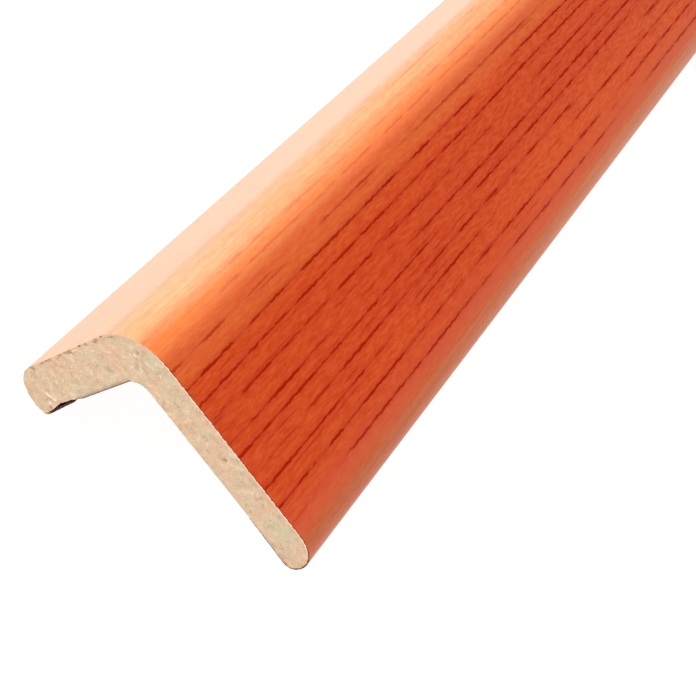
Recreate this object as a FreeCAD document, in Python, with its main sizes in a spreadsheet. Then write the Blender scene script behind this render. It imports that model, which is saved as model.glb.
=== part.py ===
"""Corner guard moulding: a fibreboard angle wrapped in a wood-grain decor film.

The angle has a short and a long leg at right angles. Its outer corner is well rounded, each
leg ends in a bullnose with a large shoulder towards the face and a small heel towards the
back, and the root between the legs has a fillet. The film covers both faces, goes round both
leg ends and stops a few millimetres along the back of each leg, which is bare board.

Row frame, millimetres: the length lies along X with its middle at X = 0. The moulding rests
on the heels of its two legs with the outer corner up, as it lies on a table.
"""

import math
import os
from typing import NamedTuple

import FreeCAD, Part
import Sketcher

SIZES = [
    ("length", 1200.0, "stock length"),
    ("short_leg", 25.0, "width of the short leg, over the film"),
    ("long_leg", 30.0, "width of the long leg, over the film"),
    ("board_thickness", 5.0, "fibreboard, face to back"),
    ("film_thickness", 0.3, "decor film"),
    ("corner_radius", 5.7, "outer corner, over the film"),
    ("root_radius", 1.8, "fillet between the backs of the legs"),
    ("heel_radius", 1.1, "leg end towards the back, over the film"),
    ("end_flat", 0.3, "straight part of a leg end, between shoulder and heel"),
    ("back_wrap", 7.0, "film on the back, from the leg end"),
]


class Size(NamedTuple):
    """A length in the section: its number, and the expression of cells that drives it."""

    number: float
    expression: str

    def __add__(self, other):
        return Size(self.number + other.number, f"({self.expression} + {other.expression})")

    def __sub__(self, other):
        return Size(self.number - other.number, f"({self.expression} - {other.expression})")


CELLS = {alias: Size(number, f"Sizes.{alias}") for alias, number, _ in SIZES}
ZERO = Size(0.0, "0 mm")

# The planes of the section. Both legs start at the sharp outer corner, where both faces
# would meet: the short leg runs along the sketch's x and the long leg along its y.
FILM = CELLS["film_thickness"]
BACK = FILM + CELLS["board_thickness"]
HEEL_PLANE = BACK + FILM
SHORT_END = CELLS["short_leg"]
LONG_END = CELLS["long_leg"]
SHORT_BOARD_END = SHORT_END - FILM
LONG_BOARD_END = LONG_END - FILM
SHORT_WRAP_END = SHORT_END - CELLS["back_wrap"]
LONG_WRAP_END = LONG_END - CELLS["back_wrap"]

# Radii over the film. The board's own arcs have the same centres, a film's thickness less.
CORNER = CELLS["corner_radius"]
HEEL = CELLS["heel_radius"]
SHOULDER = HEEL_PLANE - HEEL - CELLS["end_flat"]
ROOT = CELLS["root_radius"]
SHARP = ZERO


def make_sheet(doc):
    sheet = doc.addObject("Spreadsheet::Sheet", "Sizes")
    for row, (alias, number, meaning) in enumerate(SIZES, start=1):
        sheet.set(f"A{row}", alias)
        sheet.set(f"B{row}", str(number))
        sheet.set(f"C{row}", meaning)
        sheet.setAlias(f"B{row}", alias)
    doc.recompute()


def hold(sketch, constraint, size=None):
    """Adds a constraint, driven by a size if one is given."""
    index = sketch.addConstraint(constraint)
    if size:
        sketch.setExpression(f"Constraints[{index}]", size.expression)


def place_line(sketch, line, upright, size):
    """Holds a line upright or level, at its distance from the axis beside it."""
    hold(sketch, Sketcher.Constraint("Vertical" if upright else "Horizontal", line))
    if size == ZERO:
        on_axis = Sketcher.Constraint("PointOnObject", line, 1, -2 if upright else -1)
        hold(sketch, on_axis)
        return
    across = "DistanceX" if upright else "DistanceY"
    hold(sketch, Sketcher.Constraint(across, -1, 1, line, 1, size.number), size)


def add_lines(sketch, corners):
    """A line from each corner to the next, short of the arcs at its two ends."""
    lines = []
    for (x1, y1, radius1), (x2, y2, radius2) in zip(corners, corners[1:] + corners[:1]):
        first = FreeCAD.Vector(x1.number, y1.number, 0)
        last = FreeCAD.Vector(x2.number, y2.number, 0)
        along = (last - first).normalize()
        segment = Part.LineSegment(
            first + along * radius1.number, last - along * radius2.number
        )
        line = sketch.addGeometry(segment, False)
        upright = x1 == x2
        place_line(sketch, line, upright, x1 if upright else y1)
        lines.append(line)
    return lines


def add_corner(sketch, before, after, radius):
    """Joins two lines at a sharp corner, or by an arc tangent to both."""
    if radius is SHARP:
        hold(sketch, Sketcher.Constraint("Coincident", before, 2, after, 1))
        return
    leaving = sketch.Geometry[before]
    arriving = sketch.Geometry[after]
    inward = (leaving.EndPoint - leaving.StartPoint).normalize()
    onward = (arriving.EndPoint - arriving.StartPoint).normalize()
    turns_left = inward.cross(onward).z > 0
    centre = leaving.EndPoint + onward * radius.number
    # An arc runs anticlockwise, so at a right turn it starts on the second line.
    start = (leaving.EndPoint if turns_left else arriving.StartPoint) - centre
    angle = math.atan2(start.y, start.x)
    circle = Part.Circle(centre, FreeCAD.Vector(0, 0, 1), radius.number)
    arc = sketch.addGeometry(Part.ArcOfCircle(circle, angle, angle + math.pi / 2), False)
    first, last = (1, 2) if turns_left else (2, 1)
    hold(sketch, Sketcher.Constraint("Tangent", before, 2, arc, first))
    hold(sketch, Sketcher.Constraint("Tangent", after, 1, arc, last))
    hold(sketch, Sketcher.Constraint("Radius", arc, radius.number), radius)


def add_section(body, name, corners):
    """A closed outline of square corners, given in order as (x, y, radius)."""
    sketch = body.newObject("Sketcher::SketchObject", name)
    plane = next(f for f in body.Origin.OriginFeatures if f.Role == "YZ_Plane")
    sketch.AttachmentSupport = [(plane, "")]
    sketch.MapMode = "FlatFace"
    lines = add_lines(sketch, corners)
    for i, (_, _, radius) in enumerate(corners):
        add_corner(sketch, lines[i - 1], lines[i], radius)
    return sketch


def extrude(body, sketch):
    """Pads the section along X, half the length to each side."""
    pad = body.newObject("PartDesign::Pad", f"{body.Name}_length")
    pad.Profile = sketch
    pad.SideType = "Symmetric"
    pad.setExpression("Length", CELLS["length"].expression)
    sketch.Visibility = False


def rest_on_heels(body):
    """Turns and lifts the section until both heels touch the floor, centred across Y."""
    short_span = (SHORT_END - HEEL_PLANE).expression
    long_span = (LONG_END - HEEL_PLANE).expression
    slope = f"atan2({long_span}; {short_span})"
    sine = f"sin({slope})"
    cosine = f"cos({slope})"

    # Half a turn brings the corner up, and the slope then levels the two heels.
    half_turn = FreeCAD.Rotation(FreeCAD.Vector(1, 0, 0), 180)
    body.Placement = FreeCAD.Placement(FreeCAD.Vector(0, 0, 0), half_turn)
    body.setExpression("Placement.Rotation.Angle", f"180 deg + {slope}")

    # The shoulders are the widest points across Y, and the short leg's heel gives the lift.
    shoulder = SHOULDER.expression
    short_arm = (SHORT_END - SHOULDER).expression
    long_arm = (LONG_END - SHOULDER).expression
    short_reach = f"({short_arm} * {cosine} - {shoulder} * {sine})"
    long_reach = f"({long_arm} * {sine} - {shoulder} * {cosine})"
    body.setExpression("Placement.Base.y", f"({short_reach} - {long_reach}) / 2")

    heel = HEEL.expression
    heel_arm = (SHORT_END - HEEL).expression
    heel_depth = (HEEL_PLANE - HEEL).expression
    body.setExpression(
        "Placement.Base.z", f"{heel_arm} * {sine} + {heel_depth} * {cosine} + {heel}"
    )


def make_board(doc):
    """The fibreboard angle, planed from one piece."""
    body = doc.addObject("PartDesign::Body", "fibreboard_angle")
    corners = [
        (FILM, FILM, CORNER - FILM),
        (SHORT_BOARD_END, FILM, SHOULDER - FILM),
        (SHORT_BOARD_END, BACK, HEEL - FILM),
        (BACK, BACK, ROOT),
        (BACK, LONG_BOARD_END, HEEL - FILM),
        (FILM, LONG_BOARD_END, SHOULDER - FILM),
    ]
    extrude(body, add_section(body, "board_section", corners))
    rest_on_heels(body)
    return body


def make_film(doc):
    """The decor film, wrapped over both faces, round the leg ends and onto the backs."""
    body = doc.addObject("PartDesign::Body", "decor_film")
    outside = [
        (SHORT_WRAP_END, HEEL_PLANE, SHARP),
        (SHORT_END, HEEL_PLANE, HEEL),
        (SHORT_END, ZERO, SHOULDER),
        (ZERO, ZERO, CORNER),
        (ZERO, LONG_END, SHOULDER),
        (HEEL_PLANE, LONG_END, HEEL),
        (HEEL_PLANE, LONG_WRAP_END, SHARP),
    ]
    against_board = [
        (BACK, LONG_WRAP_END, SHARP),
        (BACK, LONG_BOARD_END, HEEL - FILM),
        (FILM, LONG_BOARD_END, SHOULDER - FILM),
        (FILM, FILM, CORNER - FILM),
        (SHORT_BOARD_END, FILM, SHOULDER - FILM),
        (SHORT_BOARD_END, BACK, HEEL - FILM),
        (SHORT_WRAP_END, BACK, SHARP),
    ]
    extrude(body, add_section(body, "film_section", outside + against_board))
    rest_on_heels(body)
    return body


def check_document(doc, bodies):
    for item in doc.Objects:
        faults = {"Invalid", "Error"} & set(item.State)
        if faults:
            raise RuntimeError(f"{item.Label} is {sorted(faults)}")
    for body in bodies:
        if body.Shape.isNull() or not body.Shape.isValid():
            raise RuntimeError(f"{body.Label} has no valid shape")


def main():
    doc = FreeCAD.newDocument("corner_guard_moulding")
    make_sheet(doc)
    bodies = [make_board(doc), make_film(doc)]
    doc.recompute()
    check_document(doc, bodies)
    os.makedirs("parts", exist_ok=True)
    for body in bodies:
        box = body.Shape.BoundBox
        print(
            f"{body.Label}: {body.Shape.Volume / 1000:.2f} cm3, "
            f"Y {box.YMin:.3f} to {box.YMax:.3f}, Z {box.ZMin:.3f} to {box.ZMax:.3f}"
        )
        body.Shape.exportStep(f"parts/{body.Label}.step")


main()
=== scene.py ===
"""Corner guard moulding: a sawn fibreboard angle wrapped in a reddish wood-grain film.

The two pieces, sawn_fibreboard and wrapped_film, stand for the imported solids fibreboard_angle
and decor_film and share their sizes. The section is drawn in its own plane, with u along the
short leg and v along the long leg from the sharp outer corner, and a matrix lays it in the row
frame, on the heels of both legs. Meshes are in metres, and marks and prints in mm.
"""

import math

import bmesh
import bpy
from mathutils import Matrix, Quaternion, Vector, noise


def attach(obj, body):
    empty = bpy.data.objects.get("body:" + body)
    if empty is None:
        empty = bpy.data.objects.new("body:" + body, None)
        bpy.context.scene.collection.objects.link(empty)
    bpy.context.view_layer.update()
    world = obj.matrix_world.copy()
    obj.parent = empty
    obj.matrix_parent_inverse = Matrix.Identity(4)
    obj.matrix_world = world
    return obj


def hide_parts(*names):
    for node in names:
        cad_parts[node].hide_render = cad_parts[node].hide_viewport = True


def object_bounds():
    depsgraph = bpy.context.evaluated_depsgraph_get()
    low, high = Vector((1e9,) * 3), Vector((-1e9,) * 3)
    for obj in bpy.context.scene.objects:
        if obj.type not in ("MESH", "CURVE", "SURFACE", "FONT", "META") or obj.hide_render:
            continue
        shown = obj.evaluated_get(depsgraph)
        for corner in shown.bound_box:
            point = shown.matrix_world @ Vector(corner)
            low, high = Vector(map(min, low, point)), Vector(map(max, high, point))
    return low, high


bl_info = {
    "name": "Corner Guard Moulding",
    "version": (1, 0, 0),
    "blender": (4, 5, 0),
    "location": "3D View > Sidebar > Moulding",
    "description": "Builds a film-wrapped fibreboard corner guard and a plain studio round it",
    "category": "Object",
}

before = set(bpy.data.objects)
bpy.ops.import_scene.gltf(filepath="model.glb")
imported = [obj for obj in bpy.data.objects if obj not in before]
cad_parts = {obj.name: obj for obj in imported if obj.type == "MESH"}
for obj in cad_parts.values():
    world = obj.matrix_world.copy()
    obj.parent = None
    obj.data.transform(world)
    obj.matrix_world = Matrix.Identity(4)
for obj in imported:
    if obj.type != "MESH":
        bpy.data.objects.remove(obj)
CAD_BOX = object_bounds()
STOCK_LENGTH = CAD_BOX[1].x - CAD_BOX[0].x

MM = 0.001

# Vertices nearer than this are one, and edges sharper than this stay sharp.
WELD = 1e-7
SHARP_ANGLE = math.radians(35)


def linear(hex_colour):
    """An sRGB hex colour as linear red, green and blue."""
    values = [int(hex_colour[i : i + 2], 16) / 255 for i in (1, 3, 5)]
    return tuple(v / 12.92 if v <= 0.04045 else ((v + 0.055) / 1.055) ** 2.4 for v in values)


def length(name, description, millimetres):
    """A length that the panel shows, given in mm and kept in metres."""
    return bpy.props.FloatProperty(
        name=name, description=description, default=millimetres * MM, min=0.0,
        unit="LENGTH", precision=5,
    )


def colour(name, description, hex_colour):
    """A colour that the panel shows."""
    return bpy.props.FloatVectorProperty(
        name=name, description=description, default=linear(hex_colour), min=0.0, max=1.0,
        size=3, subtype="COLOR",
    )


class MouldingSection(bpy.types.PropertyGroup):
    """Sizes of the L-shaped section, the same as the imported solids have."""

    stock: bpy.props.FloatProperty(
        name="Length", description="Length of the stock", default=STOCK_LENGTH, unit="LENGTH"
    )
    short_leg: length("Short leg", "Width of the short leg over the film", 25.0)
    long_leg: length("Long leg", "Width of the long leg over the film", 30.0)
    board: length("Board", "Thickness of the fibreboard", 5.0)
    film: length("Film", "Thickness of the decor film", 0.3)
    corner: length("Outer corner", "Radius of the outer corner over the film", 5.7)
    root: length("Root fillet", "Fillet between the backs of the legs", 1.8)
    heel: length("Heel", "Radius of a leg end towards the back", 1.1)
    end_flat: length("End flat", "Straight part of a leg end", 0.3)
    back_wrap: length("Back wrap", "Film on the back, from the leg end", 7.0)


class MouldingSaw(bpy.types.PropertyGroup):
    """What the saw and handling did to the ends."""

    grid: length("Grid", "Spacing of the fine mesh on a sawn end", 0.25)
    fuzz: length("Fuzz", "Height of the torn fibres on a sawn end", 0.05)
    film_chips: length("Film chips", "Deepest chip in the film's sawn edge", 0.15)
    break_out: length("Break-out", "Board broken out at the back of the short leg", 0.4)
    pressed_in: length("Pressed in", "Film pressed in over the break-out", 0.08)
    feather: length("Feather", "Width over which the film's free edge is pressed flat", 6.0)


class MouldingLooks(bpy.types.PropertyGroup):
    """Colours of the print and of the board."""

    print_base: colour("Print", "Ground colour of the cherry print", "#B23C0B")
    print_light: colour("Print, light", "Paler clouds in the print", "#B94B17")
    # Painted highlight: a pale band where the outer corner turns towards the key light, faint
    # over the short leg.
    painted_crest_highlight: colour("Painted highlight, crest", "Pale band where the corner turns", "#AA6040")
    # Painted highlight: an ochre band where the key light's highlight fades round the corner.
    painted_corner_highlight: colour("Painted highlight, corner", "Ochre band beside the pale one", "#97562A")
    # Painted reflection: a dull, greyer band beside the long leg's shoulder.
    painted_dull_reflection: colour("Painted reflection, dull", "Dull band beside the shoulder", "#AD452B")
    # Painted reflection round the shoulder, also laid as painted highlight where the corner
    # meets the long leg.
    painted_pale_sheen: colour("Painted sheen, shoulder", "Paler band round the shoulder", "#CB6B2D")
    print_dark: colour("Print, dark", "Shade beside the pores", "#A02806")
    pore: colour("Pore", "Printed pores", "#861300")
    print_gloss: colour("Gloss", "Tint of the gloss seen square on", "#FFA078")
    film_back: colour("Film back", "Glued side of the film", "#86432F")
    film_edge: colour("Film edge", "Pale core of the film where it is sawn", "#F4C3AB")
    film_scorch: colour("Film skin", "Printed skin of the film where it is sawn", "#6B3218")
    board_tan: colour("Fibreboard", "Ground colour of the fibreboard", "#C2A588")
    board_pink: colour("Fibreboard, pink", "Pinkish blotches of the board", "#C8A083")
    board_green: colour("Fibreboard, grey", "Grey-green blotches of the board", "#B7AD8D")
    board_dark: colour("Dark fibres", "Bark specks and pits", "#7B5F43")
    board_pale: colour("Pale fibres", "Bright fibre bundles", "#E7D4B7")


class MouldingStage(bpy.types.PropertyGroup):
    """Floor, light and camera."""

    floor_size: bpy.props.FloatProperty(
        name="Floor", description="Side of the floor", default=8.0, unit="LENGTH"
    )
    floor_white: colour("Floor", "Pale floor", "#FFFFFF")
    floor_glow: bpy.props.FloatProperty(
        name="Floor glow", description="Light through the white sweep", default=0.96
    )
    room: bpy.props.FloatProperty(
        name="Room light", description="Even white light all round", default=0.17
    )
    key_light: bpy.props.FloatProperty(
        name="Key light", description="Power of the softbox facing the short leg",
        default=455.0, subtype="POWER",
    )
    fill_light: bpy.props.FloatProperty(
        name="Fill light", description="Power of the softbox facing the long leg",
        default=30.0, subtype="POWER",
    )
    back_light: bpy.props.FloatProperty(
        name="Back light", description="Power of the softbox high at the back",
        default=12.0, subtype="POWER",
    )
    lens: bpy.props.FloatProperty(
        name="Lens", description="Focal length on a 36 mm sensor", default=60.797
    )


def section_frame(sizes):
    """The matrix from (x, u, v) to the row frame, with both heels on the floor."""
    heel_plane = sizes.board + 2 * sizes.film
    shoulder = heel_plane - sizes.heel - sizes.end_flat
    slope = math.atan2(sizes.long_leg - heel_plane, sizes.short_leg - heel_plane)
    sine, cosine = math.sin(slope), math.cos(slope)
    short_reach = (sizes.short_leg - shoulder) * cosine - shoulder * sine
    long_reach = (sizes.long_leg - shoulder) * sine - shoulder * cosine
    lift = (sizes.short_leg - sizes.heel) * sine + (heel_plane - sizes.heel) * cosine
    return Matrix(
        (
            (1, 0, 0, 0),
            (0, -cosine, sine, (short_reach - long_reach) / 2),
            (0, -sine, -cosine, lift + sizes.heel),
            (0, 0, 0, 1),
        )
    )


def round_corner(bm, vert, radius, segments):
    """Rounds one corner of an outline into an arc of so many segments."""
    bmesh.ops.bevel(
        bm, geom=[vert], offset=radius, offset_type="OFFSET", segments=segments,
        profile=0.5, affect="VERTICES", material=-1, loop_slide=True, clamp_overlap=False,
    )


def cut_across(bm, axis, place):
    """Cuts the whole mesh with a plane square to one of its axes."""
    bmesh.ops.bisect_plane(
        bm, geom=bm.verts[:] + bm.edges[:] + bm.faces[:], dist=WELD,
        plane_co=axis * place, plane_no=axis,
    )


X, U, V = Vector((1, 0, 0)), Vector((0, 1, 0)), Vector((0, 0, 1))

# Distances from a sawn end at which the long faces are divided, closer near the end.
END_STEPS = [d * MM for d in (0.12, 0.3, 0.55, 0.9, 1.4, 2.1, 3.0, 4.2, 6.0, 9.0)]


def divide_near_ends(bm, half):
    """Divides the long faces near both ends, which lie at half a length from the middle."""
    for step in END_STEPS:
        cut_across(bm, X, half - step)
        cut_across(bm, X, step - half)


def new_piece(name, bm, materials, node_name):
    """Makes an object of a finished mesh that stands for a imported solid."""
    mesh = bpy.data.meshes.new(name)
    for face in bm.faces:
        face.smooth = True
    bm.to_mesh(mesh)
    bm.free()
    for material in materials:
        mesh.materials.append(material)
    mesh.set_sharp_from_angle(angle=SHARP_ANGLE)
    piece = bpy.data.objects.new(name, mesh)
    bpy.context.scene.collection.objects.link(piece)
    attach(piece, "root")
    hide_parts(node_name)
    return piece


def near_segment(point, a, b):
    """Distance from a point of the section to a segment, both as (u, v)."""
    run = b - a
    share = 0.0
    if run.length > 0:
        share = max(0.0, min(1.0, (point - a).dot(run) / run.length_squared))
    return (point - a - run * share).length


# Marks on the sawn end that shows, in the section: from, to, half width in mm, and how dark
# (below 0) or pale (above 0). A dark mark is a pit and a pale one a bundle of fibres, save the
# last: a thin dark line along the back edge of the short leg, sunk a little like the pits.
END_MARKS = [
    ((3.39, 3.49), (4.62, 4.77), 0.10, -0.6),
    ((2.66, 2.95), (2.72, 3.05), 0.16, -0.7),
    ((12.00, 0.60), (12.20, 0.30), 0.13, -0.6),
    ((20.30, 0.35), (20.20, 0.45), 0.20, -0.6),
    ((7.49, 0.25), (7.30, 0.35), 0.18, -0.5),
    ((4.65, 0.50), (4.35, 0.60), 0.16, -0.4),
    ((2.18, 15.96), (2.35, 16.15), 0.16, -0.8),
    ((22.50, 4.85), (22.85, 5.20), 0.16, -0.7),
    ((21.75, 4.00), (21.40, 4.55), 0.15, -0.5),
    ((21.15, 3.00), (21.30, 3.25), 0.15, -0.4),
    ((24.00, 4.35), (23.90, 4.60), 0.16, -0.4),
    ((15.65, 3.50), (15.00, 3.75), 0.15, -0.3),
    ((11.45, 1.70), (11.35, 2.35), 0.16, -0.3),
    ((3.18, 2.91), (3.25, 3.05), 0.13, 0.7),
    ((19.06, 1.12), (19.10, 1.18), 0.13, 0.6),
    ((17.45, 1.52), (17.50, 1.60), 0.11, 0.5),
    ((11.06, 3.74), (11.10, 3.80), 0.13, 0.6),
    ((1.94, 5.75), (1.98, 5.85), 0.13, 0.7),
    ((3.40, 10.98), (3.44, 11.10), 0.13, 0.7),
    ((2.45, 4.00), (2.60, 4.78), 0.12, 0.5),
    ((21.40, 3.35), (21.45, 3.60), 0.16, 0.8),
    ((21.20, 3.80), (21.10, 4.15), 0.15, 0.7),
    ((20.50, 4.35), (21.10, 4.55), 0.15, 0.6),
    ((22.20, 4.45), (22.30, 4.60), 0.16, 0.8),
    ((24.10, 5.35), (23.60, 5.50), 0.16, 0.6),
    # A thin dark line along the back edge of the short leg.
    ((6.80, 5.28), (17.0, 5.28), 0.07, -0.9),
]

# Places where the resin is grey-green, next to the film round the corner.
RESIN_PATCHES = [
    ((1.50, 3.80), (1.80, 4.60), 0.30, 0.8),
    ((1.04, 6.30), (1.04, 6.80), 0.28, 1.0),
    ((3.60, 1.45), (3.25, 1.75), 0.25, 0.6),
    ((1.70, 25.60), (1.60, 26.40), 0.40, 0.8),
]

# Burnt spots on the film's sawn edge: place across the strip and half width in mm.
RIM_BURNS = [
    (14.9, 0.45), (17.1, 0.30), (18.5, 0.70), (21.1, 0.40), (22.3, 0.35), (23.1, 0.30),
    (26.3, 0.35), (28.2, 0.40),
]

# How far in from a sawn end its torn fibres and the chips in the film reach, and the depth of
# the darkest mark.
TORN_REACH = 0.35 * MM
CHIP_REACH = 1.2 * MM
PIT_DEPTH = 0.15 * MM

# The film chips most up to this place across it, round the outer corner, and by this share
# from there on.
CHIPPED_TO, CHIPPED_LESS = 28, 0.35

# Damage at the end that shows, in mm. The break-out runs between two places along the short
# leg, slopes over a length at each, and starts at a depth in the leg, from where it grows over
# a thickness to the leg's back. The film's loose return is its free edge's first few mm. Both
# fade out over the same length of the stock.
BREAK_START, BREAK_START_SLOPE = 16.3, 2.0
BREAK_STOP, BREAK_STOP_SLOPE = 23.9, 3.0
BREAK_DEPTH, BREAK_THICKNESS = 3.9, 1.4
LOOSE_WIDTH = 4.2
DAMAGE_REACH = 4

# The share of the film's thickness that its free edges are pressed flat by, and about how wide
# the strips of its mesh are.
PRESSED_FLAT = 0.75
STRIP_WIDTH = 0.4 * MM


def strongest(point, marks):
    """The darkest or palest of the marks at a point of the section in mm, from -1 to 1."""
    value = 0.0
    for a, b, half_width, strength in marks:
        away = near_segment(point, Vector(a), Vector(b))
        fall = max(0.0, 1.0 - away / (2 * half_width))
        if abs(strength * fall) > abs(value):
            value = strength * fall
    return value


def build_board(sizes, saw, materials):
    """The fibreboard angle, with a fine mesh on its sawn ends for the torn fibres."""
    film, back = sizes.film, sizes.film + sizes.board
    heel_plane = back + film
    shoulder = heel_plane - sizes.heel - sizes.end_flat
    half = sizes.stock / 2
    short_end, long_end = sizes.short_leg - film, sizes.long_leg - film
    corners = [  # u, v, radius and segments of the arc
        (film, film, sizes.corner - film, 20),
        (short_end, film, shoulder - film, 14),
        (short_end, back, sizes.heel - film, 6),
        (back, back, sizes.root, 8),
        (back, long_end, sizes.heel - film, 6),
        (film, long_end, shoulder - film, 14),
    ]
    bm = bmesh.new()
    blemish = bm.verts.layers.float.new("blemish")
    resin = bm.verts.layers.float.new("resin")
    verts = [bm.verts.new((half, u, v)) for u, v, _, _ in corners]
    bm.faces.new(verts)
    for vert, (_, _, radius, segments) in zip(verts, corners):
        round_corner(bm, vert, radius, segments)
    for axis, reach in ((U, sizes.short_leg), (V, sizes.long_leg)):
        for i in range(1, int(reach / saw.grid)):
            cut_across(bm, axis, i * saw.grid)
    grown = bmesh.ops.extrude_face_region(bm, geom=bm.faces[:])["geom"]
    moved = [g for g in grown if isinstance(g, bmesh.types.BMVert)]
    bmesh.ops.translate(bm, verts=moved, vec=(-2 * half, 0, 0))
    divide_near_ends(bm, half)
    bmesh.ops.remove_doubles(bm, verts=bm.verts, dist=WELD)
    bmesh.ops.recalc_face_normals(bm, faces=bm.faces)

    # Planed faces take the first material and sawn ends the second.
    for face in bm.faces:
        face.material_index = 1 if abs(face.normal.x) > 0.9 else 0

    # Torn fibres, in coarse and fine waves, and pits in the sawn ends.
    for vert in bm.verts:
        depth = half - abs(vert.co.x)
        if depth > TORN_REACH:
            continue
        side = math.copysign(1.0, vert.co.x)
        point = Vector((vert.co.y, vert.co.z)) / MM
        mark = strongest(point, END_MARKS) if side > 0 else 0.0
        coarse = noise.noise(Vector((point.x * 0.9, point.y * 0.9, 5 * side)))
        fine = noise.noise(Vector((point.x * 3.1, point.y * 3.1, 9 * side)))
        sink = saw.fuzz * (0.5 + 0.3 * coarse + 0.6 * fine) - PIT_DEPTH * min(mark, 0.0)
        vert.co.x -= side * sink * (1.0 - depth / TORN_REACH)
        vert[blemish] = mark
        vert[resin] = strongest(point, RESIN_PATCHES) if side > 0 else 0.0

    # The back of the short leg is broken out beside its heel, at the end that shows.
    for vert in bm.verts:
        depth = (half - vert.co.x) / MM
        u, v = vert.co.y / MM, vert.co.z / MM
        if depth < DAMAGE_REACH and BREAK_START < u < BREAK_STOP and v > BREAK_DEPTH:
            slopes = (
                ((BREAK_STOP - u) / BREAK_STOP_SLOPE) ** 2,
                (u - BREAK_START) / BREAK_START_SLOPE,
            )
            share = min(1.0, *slopes) * (1.0 - depth / DAMAGE_REACH)
            ragged = 1.0 + 0.5 * noise.noise(Vector((u * 1.7, depth, 3.0)))
            backwards = (v - BREAK_DEPTH) / BREAK_THICKNESS
            vert.co.z -= saw.break_out * share * ragged * backwards
    bmesh.ops.transform(bm, matrix=section_frame(sizes), verts=bm.verts)
    return new_piece("sawn_fibreboard", bm, materials, "fibreboard_angle")


def chain_in_order(bm):
    """The vertices of an open wire, from the end of the short leg's back."""
    ends = [v for v in bm.verts if len(v.link_edges) == 1]
    chain = [min(ends, key=lambda v: v.co.z)]
    while True:
        onward = [e.other_vert(chain[-1]) for e in chain[-1].link_edges]
        onward = [v for v in onward if v not in chain[-2:]]
        if not onward:
            return chain
        chain.append(onward[0])


def build_film(sizes, saw, materials):
    """The decor film: a strip folded round the section, given its thickness inwards."""
    half = sizes.stock / 2
    heel_plane = sizes.board + 2 * sizes.film
    shoulder = heel_plane - sizes.heel - sizes.end_flat
    short_end, long_end = sizes.short_leg, sizes.long_leg
    folds = [  # u, v, radius and segments of the arc
        (short_end - sizes.back_wrap, heel_plane, 0, 0),
        (short_end, heel_plane, sizes.heel, 8),
        (short_end, 0, shoulder, 18),
        (0, 0, sizes.corner, 28),
        (0, long_end, shoulder, 18),
        (heel_plane, long_end, sizes.heel, 8),
        (heel_plane, long_end - sizes.back_wrap, 0, 0),
    ]
    bm = bmesh.new()
    across = bm.verts.layers.float.new("across")
    depth_in = bm.verts.layers.float.new("film_depth")
    burn = bm.verts.layers.float.new("burn")
    uv = bm.loops.layers.uv.new("wrap")
    verts = [bm.verts.new((half, u, v)) for u, v, _, _ in folds]
    for a, b in zip(verts, verts[1:]):
        bm.edges.new((a, b))
    for vert, (_, _, radius, segments) in zip(verts, folds):
        if segments:
            round_corner(bm, vert, radius, segments)
    for edge in bm.edges[:]:
        cuts = round(edge.calc_length() / STRIP_WIDTH) - 1
        if cuts > 0:
            bmesh.ops.subdivide_edges(bm, edges=[edge], cuts=cuts)

    walked = 0.0
    chain = chain_in_order(bm)
    for before, vert in zip(chain, chain[1:]):
        walked += (vert.co - before.co).length
        vert[across] = walked
    grown = bmesh.ops.extrude_edge_only(bm, edges=bm.edges[:])["geom"]
    moved = [g for g in grown if isinstance(g, bmesh.types.BMVert)]
    bmesh.ops.translate(bm, verts=moved, vec=(-2 * half, 0, 0))
    divide_near_ends(bm, half)
    bmesh.ops.recalc_face_normals(bm, faces=bm.faces)
    face = max(bm.faces, key=lambda f: f.calc_area())
    inside = (U + V) * sizes.board
    if face.normal.dot(face.calc_center_median() - inside) < 0:
        bmesh.ops.reverse_faces(bm, faces=bm.faces)

    # Chips in the sawn edges, deeper on the short leg and round the corner.
    for vert in bm.verts:
        depth = half - abs(vert.co.x)
        if depth > CHIP_REACH:
            continue
        side = math.copysign(1.0, vert.co.x)
        place = vert[across] / MM
        rough = 1.0 if place < CHIPPED_TO else CHIPPED_LESS
        bite = noise.noise(Vector((place * 1.3, 0.0, 11 * side)))
        nick = noise.noise(Vector((place * 4.0, 3.0, 7 * side)))
        chip = saw.film_chips * rough * max(0.0, 0.25 + 0.9 * bite + 0.45 * nick)
        vert.co.x -= side * chip * (1.0 - depth / CHIP_REACH)

    # Beside the heel of the short leg, the loose return of the film is pressed in.
    for vert in bm.verts:
        depth = (half - vert.co.x) / MM
        place = vert[across] / MM
        if depth < DAMAGE_REACH and place < LOOSE_WIDTH:
            share = (1.0 - place / LOOSE_WIDTH) ** 0.5 * (1.0 - depth / DAMAGE_REACH)
            vert.co.z -= saw.pressed_in * share

    skin = set(bm.verts)
    bmesh.ops.solidify(bm, geom=bm.faces[:], thickness=sizes.film)
    for vert in bm.verts:
        vert[depth_in] = 0.0 if vert in skin else 1.0
        place = vert[across] / MM
        if vert.co.x > 0:
            vert[burn] = max(max(0.0, 1 - abs(place - at) / (2 * w)) for at, w in RIM_BURNS)
        # The free edges on the backs are pressed nearly flat.
        from_edge = min(vert[across], walked - vert[across])
        if vert in skin and from_edge < saw.feather:
            flat = PRESSED_FLAT * sizes.film * (1.0 - from_edge / saw.feather)
            if vert[across] < walked / 2:
                vert.co.z -= flat
            else:
                vert.co.y -= flat
    # The skin, the glued side and the sawn edge take the three materials in that order.
    for face in bm.faces:
        depths = {round(v[depth_in]) for v in face.verts}
        face.material_index = 2 if len(depths) == 2 else depths.pop()
        for loop in face.loops:
            loop[uv].uv = (loop.vert.co.x, loop.vert[across])
    bmesh.ops.transform(bm, matrix=section_frame(sizes), verts=bm.verts)
    return new_piece("wrapped_film", bm, materials, "decor_film")


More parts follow.
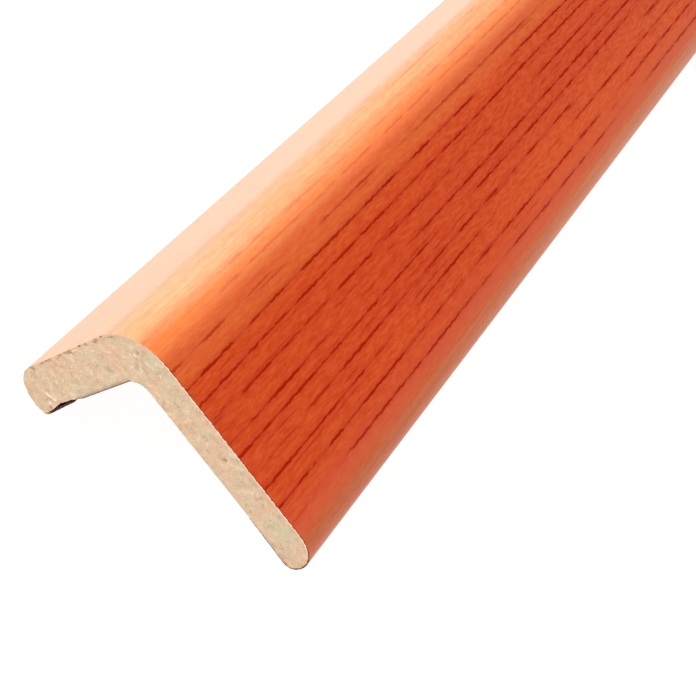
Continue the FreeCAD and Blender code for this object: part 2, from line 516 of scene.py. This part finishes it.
def set_inputs(tree, node, inputs):
    """Gives a node's inputs their values, or links them to other nodes' outputs."""
    for socket, value in inputs.items():
        if isinstance(value, bpy.types.NodeSocket):
            tree.links.new(value, node.inputs[socket])
        else:
            node.inputs[socket].default_value = value


def add_node(tree, kind, inputs=(), output=0, **settings):
    """Adds a node with its settings and its inputs, in order or by socket: one output."""
    node = tree.nodes.new("ShaderNode" + kind)
    for name, value in settings.items():
        setattr(node, name, value)
    set_inputs(tree, node, inputs if isinstance(inputs, dict) else dict(enumerate(inputs)))
    return node.outputs[output]


# A MapRange node's setting, and the sockets of a Mix node, whose names stand for several.
SMOOTH = {"interpolation_type": "SMOOTHSTEP"}
FACTOR, FLOAT_A, FLOAT_B, COLOUR_A, COLOUR_B = 0, 2, 3, 6, 7
COLOUR_RESULT = 2


def new_material(name):
    """A material, its node tree and its shader."""
    material = bpy.data.materials.new(name)
    material.use_nodes = True
    tree = material.node_tree
    return material, tree, tree.nodes["Principled BSDF"]


def solid(rgb):
    """A colour with full alpha, as a colour socket takes it."""
    return (*rgb, 1.0)


def film_place(tree):
    """A place on the flat film in mm, along it and across it."""
    wrap = add_node(tree, "UVMap", uv_map="wrap")
    return add_node(tree, "VectorMath", (wrap, (1 / MM, 1 / MM, 1)), operation="MULTIPLY")


def clouds(tree, place, grain, offset, detail=2.0):
    """Noise over a place in mm whose clouds are as large as grain, in mm."""
    shifted = add_node(tree, "VectorMath", (place, offset), operation="ADD")
    finer = tuple(1 / size for size in grain)
    scaled = add_node(tree, "VectorMath", (shifted, finer), operation="MULTIPLY")
    return add_node(tree, "TexNoise", {"Vector": scaled, "Scale": 1.0, "Detail": detail})


def lay_colours(tree, ground, layers):
    """Lays colours over a ground, one by one, each by its share times its strength."""
    for share, strength, tint in layers:
        amount = add_node(tree, "Math", (share, strength), operation="MULTIPLY")
        inputs = {FACTOR: amount, COLOUR_A: ground, COLOUR_B: tint}
        ground = add_node(tree, "Mix", inputs, COLOUR_RESULT, data_type="RGBA")
    return ground


# Along a row, beads of about this length swell and thin the pores, and beside it shade reaches
# this far, both in mm.
BEAD_LENGTH = 3.6
SHADE_REACH = 0.8


def pore_rows(tree, along, across, pitch, half_width, dash, bare, seed):
    """Rows of broken pore lines: (the lines, the shade beside them).

    Rows lie a pitch apart in mm and shift within it at random. A row is broken into dashes
    about as long as dash, and noise below bare leaves it bare.
    """
    rows = add_node(tree, "Math", (across, pitch), operation="DIVIDE")
    row = add_node(tree, "Math", (rows,), operation="FLOOR")
    within = add_node(tree, "Math", (rows,), operation="FRACT")
    number = add_node(tree, "Math", (row, seed), operation="ADD")
    chance = add_node(tree, "TexWhiteNoise", {"W": number}, "Value", noise_dimensions="1D")
    centre = add_node(tree, "MapRange", (chance, 0.0, 1.0, 0.32, 0.68), **SMOOTH)
    away = add_node(tree, "Math", (within, centre), operation="SUBTRACT")
    away = add_node(tree, "Math", (away,), operation="ABSOLUTE")
    away = add_node(tree, "Math", (away, pitch), operation="MULTIPLY")

    # Noise along the row, read at a stride from its neighbour's: its dashes and its beads.
    noises = []
    for run_length, stride, detail in ((dash, 7.31, 5.0), (BEAD_LENGTH, 3.7, 3.0)):
        run = add_node(tree, "Math", (along, run_length), operation="DIVIDE")
        apart = add_node(tree, "Math", (row, stride), operation="MULTIPLY")
        spot = add_node(tree, "CombineXYZ", (run, apart, seed))
        noises.append(
            add_node(tree, "TexNoise", {"Vector": spot, "Scale": 1.0, "Detail": detail})
        )
    dashes, beads = noises
    strength = add_node(tree, "MapRange", (dashes, bare, bare + 0.12), **SMOOTH)
    width = add_node(tree, "MapRange", (beads, 0.3, 0.7, 0.55, 1.35), **SMOOTH)
    width = add_node(tree, "Math", (width, half_width), operation="MULTIPLY")
    inside = add_node(tree, "Math", (away, width), operation="DIVIDE")
    line = add_node(tree, "MapRange", (inside, 1.4, 0.3), **SMOOTH)
    thinned = add_node(tree, "MapRange", (beads, 0.38, 0.54, 0.28, 1.0), **SMOOTH)
    for share in (strength, thinned):
        line = add_node(tree, "Math", (line, share), operation="MULTIPLY")
    shade = add_node(tree, "MapRange", (away, SHADE_REACH, 0.0), **SMOOTH)
    shade = add_node(tree, "Math", (shade, strength), operation="MULTIPLY")
    return line, shade


STRONG_PORES = {"pitch": 2.05, "half_width": 0.15, "dash": 24.0, "bare": 0.37, "seed": 3.0}
FAINT_PORES = {"pitch": 1.3, "half_width": 0.08, "dash": 10.0, "bare": 0.50, "seed": 40.0}

# How the rows of pores wander along the film and shake: the size of the waves in mm, their
# offset, and the least and most that they move the rows, in mm.
ROW_MOVES = [
    ((60, 12, 1), (3, 5, 0), -1.2, -0.8),
    ((0.8, 2.0, 1), (8, 1, 0), -0.08, 0.08),
]

# Textures of the print: the size of the clouds in mm along and across, their offset, how
# detailed they are, and the noise at which they start and are full.
PRINT_TEXTURES = {
    "flame": ((45, 8, 1), (60, 2, 0), 3.0, 0.35, 0.7),
    "mottle": ((2.4, 0.9, 1), (0, 9, 0), 4.0, 0.3, 0.75),
    "streak": ((25, 0.5, 1), (7, 0, 0), 3.0, 0.4, 0.7),
    "grit": ((1.5, 0.4, 1), (1, 6, 0), 5.0, 0.35, 0.65),
    "speck": ((0.45, 0.22, 1), (5, 0, 0), 4.0, 0.3, 0.7),
}

# Places across the film are in mm from its free edge on the back of the short leg. That leg's
# face lies at 15 to 30, the outer corner at 30 to 39, the long leg's face at 39 to 59 and its
# shoulder at 59 to 65. Places along it are in mm from the middle of the stock, with the near
# end at 600. A band starts, is full, starts to fade and ends at places across, and the last
# number is its share before its start. The crest, corner and turn bands carry a painted
# highlight round the outer corner, and the dull band a painted reflection beside the shoulder.
PRINT_BANDS = {
    "crest": (30.0, 33.5, 34.0, 36.0, 0.25),
    "ridge": (31.0, 33.0, 36.0, 38.0, 0.0),
    "corner": (33.5, 35.5, 36.5, 39.0, 0.0),
    "turn": (37.5, 38.8, 38.8, 42.0, 0.0),
    "shaded": (37.0, 41.0, 56.5, 59.0, 0.0),
    "flat": (38.0, 42.0, 54.0, 58.0, 0.0),
    "middle": (41.0, 47.0, 51.0, 56.0, 0.0),
    "dull": (56.8, 58.4, 58.4, 60.0, 0.0),
}


def cherry_film_material(looks):
    """Printed decor film, a cherry print on a thin plastic sheet pressed with fine pores.

    It is satin: broad soft highlights that turn bright where it is seen along the surface.
    The pores are darker, slightly sunk and duller, 0.3 mm wide and about 2 mm apart.
    """
    material, tree, shader = new_material("cherry_print_decor_film")
    place = film_place(tree)
    along = add_node(tree, "SeparateXYZ", (place,))
    across = along.node.outputs["Y"]
    texture, band = {}, {}
    for name, (grain, offset, detail, start, full) in PRINT_TEXTURES.items():
        noise_value = clouds(tree, place, grain, offset, detail)
        texture[name] = add_node(tree, "MapRange", (noise_value, start, full), **SMOOTH)
    for name, (start, full, fade, end, before) in PRINT_BANDS.items():
        rising = add_node(tree, "MapRange", (across, start, full, before, 1.0), **SMOOTH)
        falling = add_node(tree, "MapRange", (across, fade, end), **SMOOTH)
        band[name] = add_node(tree, "Math", (rising, falling), operation="SUBTRACT")

    moved = across
    for grain, offset, least, most in ROW_MOVES:
        wave = clouds(tree, place, grain, offset)
        wave = add_node(tree, "MapRange", (wave, 0.2, 0.8, least, most), **SMOOTH)
        moved = add_node(tree, "Math", (moved, wave), operation="ADD")
    strong, strong_shade = pore_rows(tree, along, moved, **STRONG_PORES)
    faint, faint_shade = pore_rows(tree, along, moved, **FAINT_PORES)
    # The pores are plain on the long leg, fainter on the short leg and on the corner, and
    # nearly gone round the shoulder.
    short_leg = add_node(tree, "MapRange", (across, 29.0, 32.0, 0.65, 0.5), **SMOOTH)
    long_leg = add_node(tree, "MapRange", (across, 37.0, 40.5, 0.0, 0.5), **SMOOTH)
    grained = add_node(tree, "Math", (short_leg, long_leg), operation="ADD")
    face = add_node(tree, "MapRange", (across, 59.0, 57.0, 0.10, 1.0), **SMOOTH)
    grained = add_node(tree, "Math", (grained, face), operation="MULTIPLY")
    strong = add_node(tree, "Math", (strong, grained), operation="MULTIPLY")
    faint = add_node(tree, "Math", (faint, grained), operation="MULTIPLY")
    strong_shade = add_node(tree, "Math", (strong_shade, band["shaded"]), operation="MULTIPLY")
    faint_shade = add_node(tree, "Math", (faint_shade, band["shaded"]), operation="MULTIPLY")

    # Away from the near end, the lower half of the long leg turns more orange, and the painted
    # reflection round its shoulder, a pale band, grows stronger.
    lower_half = add_node(tree, "MapRange", (across, 48.0, 53.0), **SMOOTH)
    inwards = add_node(tree, "MapRange", (along, 565.0, 525.0, 0.0, 0.6), **SMOOTH)
    orange = add_node(tree, "Math", (lower_half, inwards), operation="MULTIPLY")
    # Painted reflection round the shoulder.
    shoulder = add_node(tree, "MapRange", (across, 57.5, 59.8), **SMOOTH)
    inwards = add_node(tree, "MapRange", (along, 595.0, 530.0, 0.65, 0.95), **SMOOTH)
    shoulder = add_node(tree, "Math", (shoulder, inwards), operation="MULTIPLY")

    # Round the outer corner the colour carries a painted highlight: pale, then ochre, then
    # faintly pale where it meets the long leg. Round the long leg's shoulder it carries a
    # painted reflection, dull and then pale. The print is darkest along the middle of the long
    # leg. The pores are browner on the corner and the short leg.
    base, light = solid(looks.print_base), solid(looks.print_light)
    dark, pale = solid(looks.print_dark), solid(looks.painted_pale_sheen)
    browned = add_node(tree, "MapRange", (across, 39.0, 36.5), **SMOOTH)
    pore = lay_colours(tree, solid(looks.pore), [(browned, 0.6, solid(looks.film_scorch))])
    tint = lay_colours(tree, base, [
        (band["middle"], 0.50, dark),
        (texture["flame"], 0.35, dark),
        (texture["mottle"], 0.60, light),
        (texture["grit"], 0.45, dark),
        (texture["speck"], 0.35, light),
        (orange, 1.0, light),
        # Painted highlight round the outer corner: ochre, the pale crest, and a pale turn
        # towards the long leg.
        (band["corner"], 0.85, solid(looks.painted_corner_highlight)),
        (band["crest"], 0.85, solid(looks.painted_crest_highlight)),
        (band["turn"], 0.40, pale),
        # Painted reflection round the long leg's shoulder: pale, and dull beside it.
        (shoulder, 1.0, pale),
        (band["dull"], 0.65, solid(looks.painted_dull_reflection)),
        (texture["streak"], 0.35, base),
        (texture["grit"], 0.20, dark),
        (strong_shade, 0.50, dark),
        (faint_shade, 0.25, dark),
        (faint, 0.60, pore),
        (strong, 0.95, pore),
    ])

    # The pores are pressed into the long leg and only printed on the short one.
    pressed = add_node(tree, "MapRange", (across, 36.0, 39.0), **SMOOTH)
    strong = add_node(tree, "Math", (strong, pressed), operation="MULTIPLY")
    faint = add_node(tree, "Math", (faint, pressed), operation="MULTIPLY")
    rough = 0.42
    for part, more in ((strong, 0.15), (texture["speck"], 0.05)):
        rough = add_node(tree, "Math", (part, more, rough), operation="MULTIPLY_ADD")
    grain_height = add_node(tree, "Math", (texture["speck"], 0.5), operation="MULTIPLY")
    height = add_node(tree, "Math", (grain_height, strong), operation="SUBTRACT")
    bump = add_node(
        tree, "Bump", {"Height": height, "Strength": 0.5, "Distance": 0.03 * MM}
    )

    # A thin satin lacquer lies over the print. It is thinner on the corner, most of all at the
    # near end, and on the shoulder, in the grit and in the faint pores. The strong pores have
    # nearly none.
    lacquer = add_node(tree, "MapRange", (across, 57.5, 61.0, 1.0, 0.4), **SMOOTH)
    lacquer = add_node(tree, "Math", (band["flat"], -0.2, lacquer), operation="MULTIPLY_ADD")
    rubbed = add_node(tree, "MapRange", (along, 588.0, 598.0, 0.5, 0.75), **SMOOTH)
    rubbed = add_node(tree, "Math", (band["ridge"], rubbed), operation="MULTIPLY")
    lacquer = add_node(tree, "Math", (lacquer, rubbed), operation="SUBTRACT")
    worn = add_node(tree, "Math", (texture["grit"], band["flat"]), operation="MULTIPLY")
    for part, lost in ((worn, 0.6), (faint, 0.6), (strong, 0.95)):
        left = add_node(tree, "Math", (part, -lost, 1.0), operation="MULTIPLY_ADD")
        lacquer = add_node(tree, "Math", (lacquer, left), operation="MULTIPLY")
    gloss = add_node(tree, "Math", (lacquer, 0.5), operation="MULTIPLY")
    set_inputs(tree, shader, {
        "Base Color": tint,
        "Roughness": rough,
        "Normal": bump,
        "IOR": 1.5,
        "Specular IOR Level": gloss,
        "Specular Tint": solid(looks.print_gloss),
        "Coat Weight": lacquer,
        "Coat IOR": 1.35,
        "Coat Roughness": 0.45,
    })
    return material


def film_back_material(looks):
    """The film's glued side: matt brown paper with dried adhesive."""
    material, tree, shader = new_material("film_glue_side")
    patches = clouds(tree, film_place(tree), (1.5, 0.9, 1), (2, 2, 0), 3.0)
    patches = add_node(tree, "MapRange", (patches, 0.35, 0.7), **SMOOTH)
    glue = solid([c * 0.6 for c in looks.film_back])
    tint = lay_colours(tree, solid(looks.film_back), [(patches, 1.0, glue)])
    set_inputs(tree, shader, {"Base Color": tint, "Roughness": 0.7})
    return material


def film_edge_material(looks):
    """The film's sawn edge, seen at the ends of the stock.

    On the long leg the printed skin shows as a thin dark line over a pale core. Elsewhere the
    saw has dragged the board's fibres over the edge, the skin shows only in patches, and there
    are burnt spots. The loose edge on the back of the short leg is darkened nearly to black.
    """
    material, tree, shader = new_material("film_sawn_edge")
    place = film_place(tree)
    across = add_node(tree, "SeparateXYZ", (place,), "Y")
    depth = add_node(tree, "Attribute", output="Fac", attribute_name="film_depth")
    burn = add_node(tree, "Attribute", output="Fac", attribute_name="burn")
    ragged = clouds(tree, place, (0.3, 0.4, 1), (0, 0, 0), 1.0)
    ragged = add_node(tree, "MapRange", (ragged, 0.3, 0.7, -0.2, 0.2), **SMOOTH)
    skin = add_node(tree, "Math", (depth, ragged), operation="ADD")
    skin = add_node(tree, "MapRange", (skin, 0.62, 0.42), **SMOOTH)
    patches = clouds(tree, place, (1.7, 1.6, 1), (4, 4, 0), 4.0)
    patches = add_node(tree, "MapRange", (patches, 0.58, 0.70), **SMOOTH)
    spots = clouds(tree, place, (0.3, 0.25, 1), (9, 2, 0), 2.0)
    burnt = add_node(tree, "Math", (burn, spots), operation="ADD")
    burnt = add_node(tree, "MapRange", (burnt, 0.85, 1.15), **SMOOTH)
    long_leg = add_node(tree, "MapRange", (across, 35.0, 38.0), **SMOOTH)
    tip = add_node(tree, "MapRange", (across, 60.0, 63.0), **SMOOTH)
    core = add_node(tree, "Math", (long_leg, tip), operation="SUBTRACT")
    shown = add_node(tree, "Mix", {FACTOR: long_leg, FLOAT_A: patches, FLOAT_B: 1.0})
    # Within 5 to 7 mm of its free edge on the back of the short leg, the film's edge is
    # darkened nearly to black.
    darkened_back_edge = add_node(tree, "MapRange", (across, 7.0, 5.0), **SMOOTH)
    tint = lay_colours(tree, solid(looks.board_tan), [
        (core, 1.0, solid(looks.film_edge)),
        (burnt, 0.5, solid(looks.board_dark)),
        (skin, shown, solid(looks.film_scorch)),
        (darkened_back_edge, 1.0, solid([c * 0.2 for c in looks.film_scorch])),
    ])
    set_inputs(
        tree, shader, {"Base Color": tint, "Roughness": 0.85, "Specular IOR Level": 0.2}
    )
    return material


# Textures of the board: the size of the clouds in mm, their offset and how detailed they are.
BOARD_TEXTURES = {
    "pink": (4.0, (0, 0, 0), 2.0),
    "green": (3.0, (31, 7, 5), 2.0),
    "fibre": (0.25, (3, 11, 2), 3.0),
    "bundle": (0.75, (17, 1, 9), 4.0),
    "bark": (0.4, (9, 40, 8), 2.0),
}

# Colours over the board's ground, in order: the texture or the mark, the values of it at which
# the colour starts and is full, its strength, and the colour.
BOARD_LAYERS = [
    ("pink", 0.40, 0.70, 0.70, "board_pink"),
    ("green", 0.45, 0.75, 0.60, "board_green"),
    ("bundle", 0.48, 0.28, 0.28, "board_dark"),
    ("bundle", 0.52, 0.72, 0.30, "board_pale"),
    ("fibre", 0.48, 0.25, 0.28, "board_dark"),
    ("fibre", 0.52, 0.75, 0.28, "board_pale"),
    ("bark", 0.70, 0.80, 0.70, "board_dark"),
]
SAWN_LAYERS = [
    ("blemish", -0.15, -0.7, 1.0, "board_dark"),
    ("blemish", 0.15, 0.6, 1.0, "board_pale"),
    ("resin", 0.1, 0.8, 0.9, "board_green"),
]


def fibreboard_material(looks, name, sawn):
    """Medium-density fibreboard: wood fibres pressed with resin, dry and quite matt.

    Planed, it is even, with a few darker fibres. A sawn end is mottled in clouds 2 to 5 mm
    wide, with bark specks and torn bundles of fibre under half a millimetre.
    """
    material, tree, shader = new_material(name)
    raw = add_node(tree, "TexCoord", output="Object")
    place = add_node(tree, "VectorMath", (raw, (1 / MM, 1 / MM, 1 / MM)), operation="MULTIPLY")
    # The plane draws the fibres out along the stock and evens their colours.
    stretch, contrast = (1.0, 1.0) if sawn else (2.5, 0.35)
    values = {
        texture: clouds(tree, place, (size * stretch, size, size), offset, detail)
        for texture, (size, offset, detail) in BOARD_TEXTURES.items()
    }
    rows = BOARD_LAYERS + (SAWN_LAYERS if sawn else [])
    for mark in ("blemish", "resin") if sawn else ():
        values[mark] = add_node(tree, "Attribute", output="Fac", attribute_name=mark)
    layers = []
    for source, start, full, strength, tint_name in rows:
        share = add_node(tree, "MapRange", (values[source], start, full), **SMOOTH)
        layers.append((share, strength * contrast, solid(getattr(looks, tint_name))))
    bump = add_node(
        tree, "Bump",
        {"Height": values["fibre"], "Strength": 0.35, "Distance": 0.08 * MM * stretch},
    )
    set_inputs(tree, shader, {
        "Base Color": lay_colours(tree, solid(looks.board_tan), layers),
        "Normal": bump,
        "Roughness": 0.85,
        "Specular IOR Level": 0.25,
    })
    return material


def white_sweep_material(stage):
    """A white acrylic sweep lit from below, as used for cut-out product pictures.

    It gives back little of the softboxes' light, so that its own glow keeps it even.
    """
    material, tree, shader = new_material("white_sweep")
    set_inputs(tree, shader, {
        "Base Color": solid([c * 0.10 for c in stage.floor_white]),
        "Roughness": 0.9,
        "Specular IOR Level": 0.0,
        "Emission Color": solid(stage.floor_white),
        "Emission Strength": stage.floor_glow,
    })
    return material


# The camera that the end face, its vanishing point and the leg silhouettes agree on.
CAMERA_PLACE = (0.656178, 0.038701, 0.102190)
CAMERA_TURN = Quaternion((0.433783, 0.232859, 0.268459, 0.827973))

# Three softboxes look at the near end: a strong one from the side of the short leg, a weak
# one from the side of the long leg, and one high at the back whose gloss runs along the
# corner. Each has a place and a size.
AIM = Vector((0.50, 0.0, 0.01))
KEY_SOFTBOX = (Vector((0.50, -1.87, 1.75)), (2.4, 2.3))
FILL_SOFTBOX = (Vector((1.10, 2.20, 0.90)), (2.4, 1.4))
BACK_SOFTBOX = (Vector((-1.10, -0.25, 1.85)), (1.6, 1.6))


def add_softbox(name, place, size, power):
    """A rectangular area light that looks at the near end."""
    light = bpy.data.lights.new(name, "AREA")
    light.shape = "RECTANGLE"
    light.size, light.size_y = size
    light.energy = power
    softbox = bpy.data.objects.new(name, light)
    softbox.location = place
    softbox.rotation_mode = "QUATERNION"
    softbox.rotation_quaternion = (AIM - place).to_track_quat("-Z", "Y")
    bpy.context.scene.collection.objects.link(softbox)


def set_stage(stage):
    """The floor, the softboxes, the room's light and the camera."""
    bm = bmesh.new()
    bmesh.ops.create_grid(bm, x_segments=1, y_segments=1, size=stage.floor_size / 2)
    mesh = bpy.data.meshes.new("floor")
    bm.to_mesh(mesh)
    bm.free()
    mesh.materials.append(white_sweep_material(stage))
    floor = bpy.data.objects.new("floor", mesh)
    bpy.context.scene.collection.objects.link(floor)

    add_softbox("key_softbox", *KEY_SOFTBOX, stage.key_light)
    add_softbox("fill_softbox", *FILL_SOFTBOX, stage.fill_light)
    add_softbox("back_softbox", *BACK_SOFTBOX, stage.back_light)

    world = bpy.data.worlds.new("studio")
    world.use_nodes = True
    tree = world.node_tree
    # The room lights the moulding dimly, and behind the sweep it is seen as white.
    seen = add_node(tree, "LightPath", output="Is Camera Ray")
    strength = add_node(tree, "Mix", {FACTOR: seen, FLOAT_A: stage.room, FLOAT_B: 1.0})
    set_inputs(
        tree, tree.nodes["Background"], {"Color": (1, 1, 1, 1), "Strength": strength}
    )
    bpy.context.scene.world = world

    lens = bpy.data.cameras.new("camera")
    lens.lens = stage.lens
    lens.sensor_width = 36.0
    lens.clip_start = 0.01
    camera = bpy.data.objects.new("camera", lens)
    camera.location = CAMERA_PLACE
    camera.rotation_mode = "QUATERNION"
    camera.rotation_quaternion = CAMERA_TURN
    bpy.context.scene.collection.objects.link(camera)
    bpy.context.scene.camera = camera

    # Plain sRGB output keeps the print's red and a clean white.
    bpy.context.scene.view_settings.view_transform = "Standard"
    bpy.context.scene.view_settings.look = "None"


class MOULDING_OT_build_board(bpy.types.Operator):
    """Builds the sawn fibreboard angle"""

    bl_idname = "moulding.build_board"
    bl_label = "Fibreboard angle"

    def execute(self, context):
        scene = context.scene
        looks = scene.moulding_looks
        materials = [
            fibreboard_material(looks, "planed_fibreboard", sawn=False),
            fibreboard_material(looks, "sawn_fibreboard", sawn=True),
        ]
        build_board(scene.moulding_section, scene.moulding_saw, materials)
        return {"FINISHED"}


class MOULDING_OT_build_film(bpy.types.Operator):
    """Builds the wood-grain film wrapped round the board"""

    bl_idname = "moulding.build_film"
    bl_label = "Decor film"

    def execute(self, context):
        scene = context.scene
        looks = scene.moulding_looks
        materials = [
            cherry_film_material(looks),
            film_back_material(looks),
            film_edge_material(looks),
        ]
        build_film(scene.moulding_section, scene.moulding_saw, materials)
        return {"FINISHED"}


class MOULDING_OT_set_stage(bpy.types.Operator):
    """Lays the floor and sets the lights and the camera"""

    bl_idname = "moulding.set_stage"
    bl_label = "Studio"

    def execute(self, context):
        set_stage(context.scene.moulding_stage)
        return {"FINISHED"}


class MOULDING_PT_panel(bpy.types.Panel):
    """Lists the pieces and the values they are made from"""

    bl_label = "Corner Guard Moulding"
    bl_idname = "MOULDING_PT_panel"
    bl_space_type = "VIEW_3D"
    bl_region_type = "UI"
    bl_category = "Moulding"

    def draw(self, context):
        scene = context.scene
        for operator in OPERATORS:
            self.layout.operator(operator.bl_idname)
        for name in GROUPS:
            box = self.layout.box()
            group = getattr(scene, name)
            for key in group.bl_rna.properties.keys():
                if key not in {"rna_type", "name"}:
                    box.prop(group, key)


GROUPS = {
    "moulding_section": MouldingSection,
    "moulding_saw": MouldingSaw,
    "moulding_looks": MouldingLooks,
    "moulding_stage": MouldingStage,
}
OPERATORS = (MOULDING_OT_build_board, MOULDING_OT_build_film, MOULDING_OT_set_stage)


def register():
    """Registers the classes and gives the scene their values."""
    for made in (*GROUPS.values(), *OPERATORS, MOULDING_PT_panel):
        bpy.utils.register_class(made)
    for name, group in GROUPS.items():
        setattr(bpy.types.Scene, name, bpy.props.PointerProperty(type=group))


def unregister():
    """Takes back what register() did."""
    for name in GROUPS:
        delattr(bpy.types.Scene, name)
    for made in reversed((*GROUPS.values(), *OPERATORS, MOULDING_PT_panel)):
        bpy.utils.unregister_class(made)


def main():
    """Builds the moulding and its stage."""
    register()
    bpy.ops.moulding.build_board()
    bpy.ops.moulding.build_film()
    bpy.ops.moulding.set_stage()


if __name__ == "__main__":
    main()
